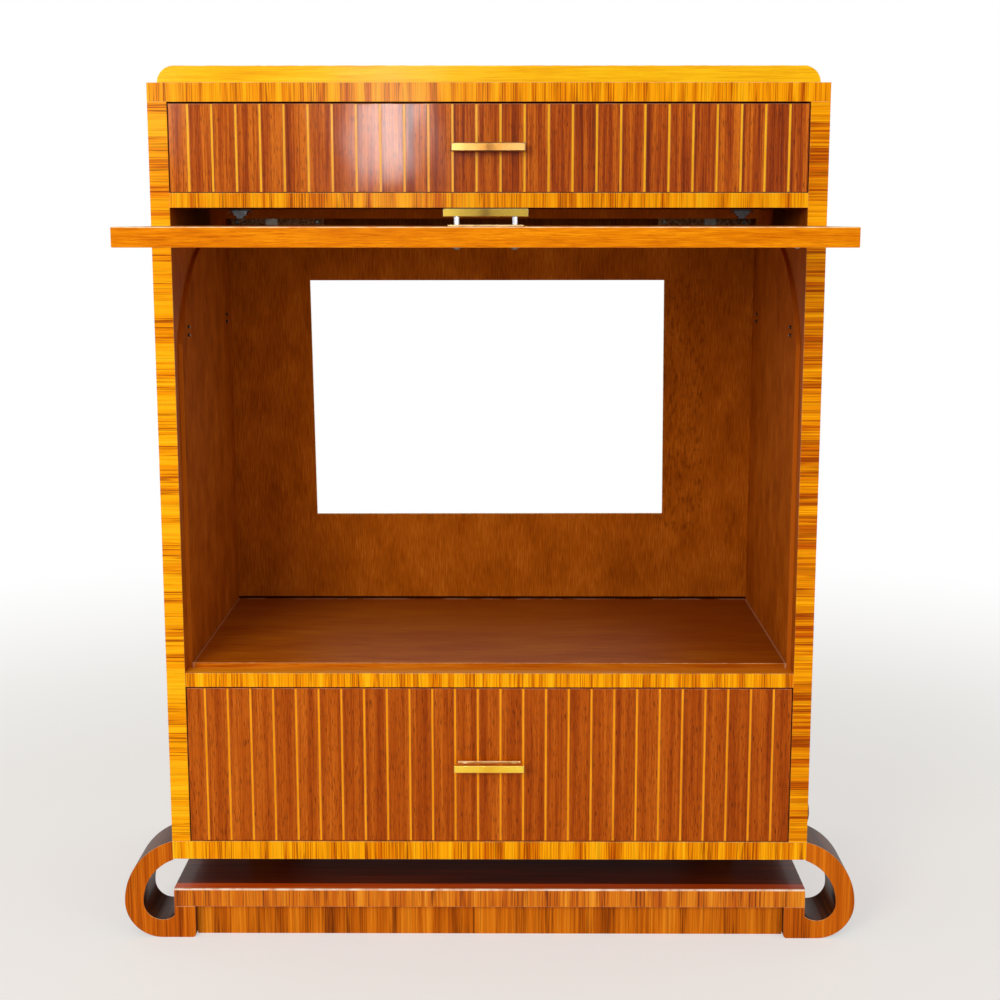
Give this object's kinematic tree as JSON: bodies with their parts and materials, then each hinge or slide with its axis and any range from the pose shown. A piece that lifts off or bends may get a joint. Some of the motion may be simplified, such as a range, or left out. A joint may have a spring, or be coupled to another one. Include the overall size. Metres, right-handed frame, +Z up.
{
  "type": "art deco radio phonograph cabinet",
  "caption": "Tall wooden cabinet with two drawers, an open compartment behind a lift-up flap that slides back under the top, and scroll feet.",
  "frame": {"origin": "bottom centre of the whole object in the rest pose, on the floor, with the flap raised and standing out in front", "axes": "+Z up, -Y towards the front, +X to the right seen from the front"},
  "size_m": [1.018, 0.7754, 1.187],
  "materials": {
    "veneer_dark": "semi-gloss french polish",
    "veneer_gold": "semi-gloss french polish",
    "crossband": "semi-gloss french polish",
    "interior_wood": "satin",
    "drawer_box_wood": "plain, unpolished",
    "plywood": "plain",
    "inlay_wood": "semi-gloss",
    "handle_brass": "polished, lightly aged",
    "handle_steel": "polished",
    "arm_steel": "aged",
    "bracket_silver": "satin",
    "pad_white": "matt",
    "screw_steel": "aged",
    "plate_brown": "mottled brown"
  },
  "bodies": {
    "cabinet": {"left_side_panel": "veneer_dark", "right_side_panel": "veneer_dark", "top_panel": "veneer_dark", "top_cap": "veneer_gold", "upper_divider": "interior_wood", "lower_divider": "interior_wood", "bottom_panel": "veneer_dark", "shelf_floor": "interior_wood", "left_side_lining": "interior_wood", "right_side_lining": "interior_wood", "back_panel": "plywood", "stile_lippings": "crossband", "top_edge_lipping": "crossband", "divider_lippings": "crossband", "bottom_edge_lipping": "crossband", "base_board": "veneer_dark", "base_board_lipping": "veneer_gold", "plinth_front": "crossband", "plinth_sides_and_back": "interior_wood", "spacer_rails": "interior_wood", "left_front_foot": "veneer_dark", "right_front_foot": "veneer_dark", "left_rear_foot": "veneer_dark", "right_rear_foot": "veneer_dark", "drawer_stops": "interior_wood"},
    "flap_carriage": {"follower_bar": "interior_wood", "pivot_arms": "arm_steel", "arm_plates": "plate_brown", "glide_brackets": "bracket_silver", "glide_pads": "pad_white", "guide_shoes": "interior_wood"},
    "flap": {"flap_panel": "veneer_dark", "flap_lippings": "veneer_gold", "flap_inlays": "inlay_wood", "flap_handle_bar": "handle_brass", "flap_handle_plate": "handle_steel", "flap_handle_posts": "handle_steel", "flap_handle_screws": "screw_steel", "flap_catch_stud": "screw_steel", "flap_pivot_pins": "arm_steel"},
    "top_drawer": {"top_drawer_front": "veneer_dark", "top_drawer_inlays": "inlay_wood", "top_drawer_sides": "drawer_box_wood", "top_drawer_back": "drawer_box_wood", "top_drawer_bottom": "drawer_box_wood", "top_drawer_handle_bar": "handle_brass", "top_drawer_handle_plate": "handle_steel", "top_drawer_handle_posts": "handle_steel", "top_drawer_handle_screws": "screw_steel"},
    "bottom_drawer": {"bottom_drawer_front": "veneer_dark", "bottom_drawer_inlays": "inlay_wood", "bottom_drawer_sides": "drawer_box_wood", "bottom_drawer_back": "drawer_box_wood", "bottom_drawer_bottom": "drawer_box_wood", "bottom_drawer_handle_bar": "handle_brass", "bottom_drawer_handle_plate": "handle_steel", "bottom_drawer_handle_posts": "handle_steel", "bottom_drawer_handle_screws": "screw_steel"}
  },
  "joints": [
    {"name": "top_drawer_slide", "type": "slide", "parent": "cabinet", "child": "top_drawer", "axis": [0, -1, 0], "range_m": [0, 0.3]},
    {"name": "bottom_drawer_slide", "type": "slide", "parent": "cabinet", "child": "bottom_drawer", "axis": [0, -1, 0], "range_m": [0, 0.3]},
    {"name": "flap_slide", "type": "slide", "parent": "cabinet", "child": "flap_carriage", "axis": [0, -1, 0], "range_m": [0, 0.2353]},
    {"name": "flap_hinge", "type": "hinge", "parent": "flap_carriage", "child": "flap", "pos_m": [0, 0.2008, 0.97245], "axis": [1, 0, 0], "range_deg": [0, 90]}
  ],
  "couplings": [
    {"joint": "flap_hinge", "follows": "flap_slide", "rad_per_m": 6.675}
  ]
}
